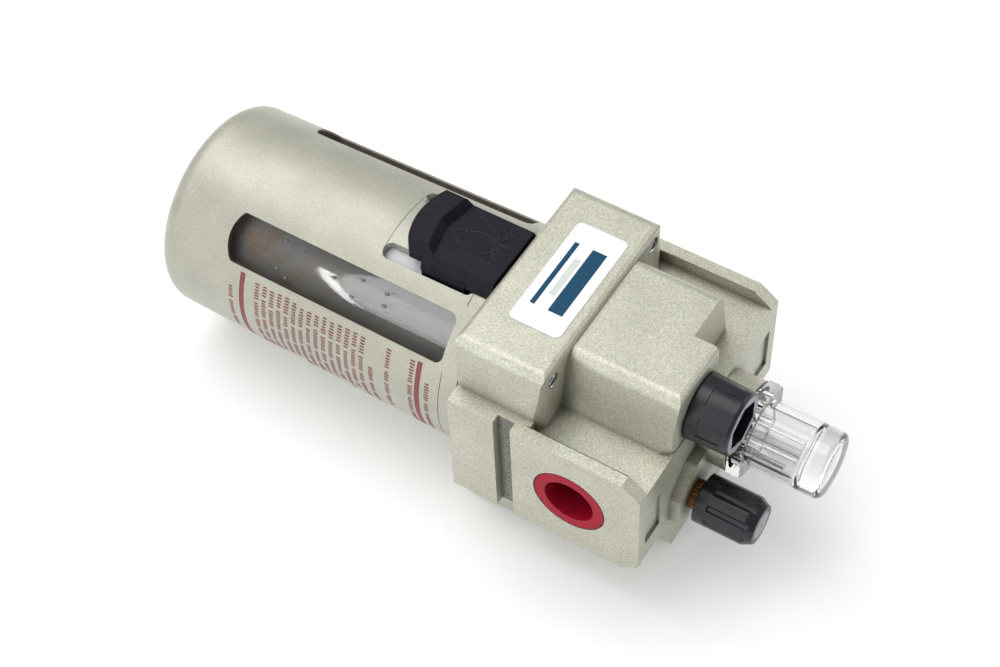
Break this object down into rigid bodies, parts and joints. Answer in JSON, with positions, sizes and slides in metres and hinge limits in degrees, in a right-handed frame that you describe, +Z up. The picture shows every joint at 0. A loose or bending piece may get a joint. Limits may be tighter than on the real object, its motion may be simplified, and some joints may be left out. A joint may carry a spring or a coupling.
{
  "type": "air line lubricator",
  "caption": "Compressed-air oil-mist lubricator: ported die-cast body, windowed guard with clear bowl and slide lock, sight dome, fill plug and drip-rate knob.",
  "frame": {"origin": "centre of the bounding box's underside: the part lies on its back face, as on a bench", "axes": "+X along the bowl's axis towards the sight dome, +Y through the ports towards the open outlet port, +Z up, out of the label face"},
  "size_m": [0.1812, 0.07, 0.0685],
  "materials": {
    "body_paint": "metallic paint on an aluminium die casting",
    "guard_paint": "satin metallic paint on aluminium",
    "clear_plastic": "clear polycarbonate",
    "white_plastic": "moulded",
    "black_plastic": "satin moulded",
    "red_plastic": "soft moulded polyethylene",
    "rubber": "nitrile rubber",
    "steel": "bright",
    "brass": "turned",
    "sintered_bronze": "sintered, matt",
    "sticker": "white film"
  },
  "bodies": {
    "body": {"body_casting": "body_paint", "venturi_insert": "white_plastic", "damper_flap": "rubber", "retaining_ring": "steel", "siphon_tube": "white_plastic", "siphon_strainer": "sintered_bronze", "check_seat": "brass", "check_ball": "steel", "drip_tube": "clear_plastic", "drip_pin": "steel", "needle_gland": "brass", "label_plate": "sticker"},
    "bowl_set": {"bowl_guard": "guard_paint", "oil_bowl": "clear_plastic", "bowl_o_ring": "rubber", "lever_spring": "steel"},
    "lever": {"lock_lever": "black_plastic", "lever_retainer": "white_plastic"},
    "cap": {"port_cap": "red_plastic"},
    "fill_seal": {"fill_plug_o_ring": "rubber"},
    "fill_plug_set": {"fill_plug": "black_plastic"},
    "dome_seal": {"dome_o_ring": "rubber"},
    "dome_set": {"sight_dome": "clear_plastic"},
    "needle_seal": {"needle_o_ring": "rubber"},
    "needle_set": {"adjusting_needle": "brass", "adjusting_knob": "black_plastic"}
  },
  "joints": [
    {"name": "bowl_twist", "type": "hinge", "parent": "body", "child": "bowl_set", "pos_m": [0.0096, 0, 0.033], "axis": [1, 0, 0], "range_deg": [0, 45]},
    {"name": "lever_slide", "type": "slide", "parent": "bowl_set", "child": "lever", "axis": [-1, 0, 0], "range_m": [0, 0.005], "stiffness_N_per_m": 200, "springref_m": -0.005, "deforming": ["lever_spring"]},
    {"name": "cap_pull", "type": "slide", "parent": "body", "child": "cap", "axis": [0, -1, 0], "range_m": [0, 0.014]},
    {"name": "fill_plug_travel", "type": "slide", "parent": "body", "child": "fill_seal", "axis": [1, 0, 0], "range_m": [0, 0.0135]},
    {"name": "fill_plug_turn", "type": "hinge", "parent": "fill_seal", "child": "fill_plug_set", "pos_m": [0.0596, -0.0065, 0.0522], "axis": [1, 0, 0], "range_deg": [0, 3240]},
    {"name": "dome_travel", "type": "slide", "parent": "body", "child": "dome_seal", "axis": [1, 0, 0], "range_m": [0, 0.009]},
    {"name": "dome_turn", "type": "hinge", "parent": "dome_seal", "child": "dome_set", "pos_m": [0.0596, 0.0054, 0.034], "axis": [1, 0, 0], "range_deg": [0, 2160]},
    {"name": "knob_travel", "type": "slide", "parent": "body", "child": "needle_seal", "axis": [1, 0, 0], "range_m": [0, 0.001]},
    {"name": "knob_turn", "type": "hinge", "parent": "needle_seal", "child": "needle_set", "pos_m": [0.0596, -0.0118, 0.023], "axis": [1, 0, 0], "range_deg": [0, 720]}
  ],
  "couplings": [
    {"joint": "fill_plug_turn", "follows": "fill_plug_travel", "rad_per_m": 4188.8},
    {"joint": "dome_turn", "follows": "dome_travel", "rad_per_m": 4188.8},
    {"joint": "knob_turn", "follows": "knob_travel", "rad_per_m": 12566}
  ]
}
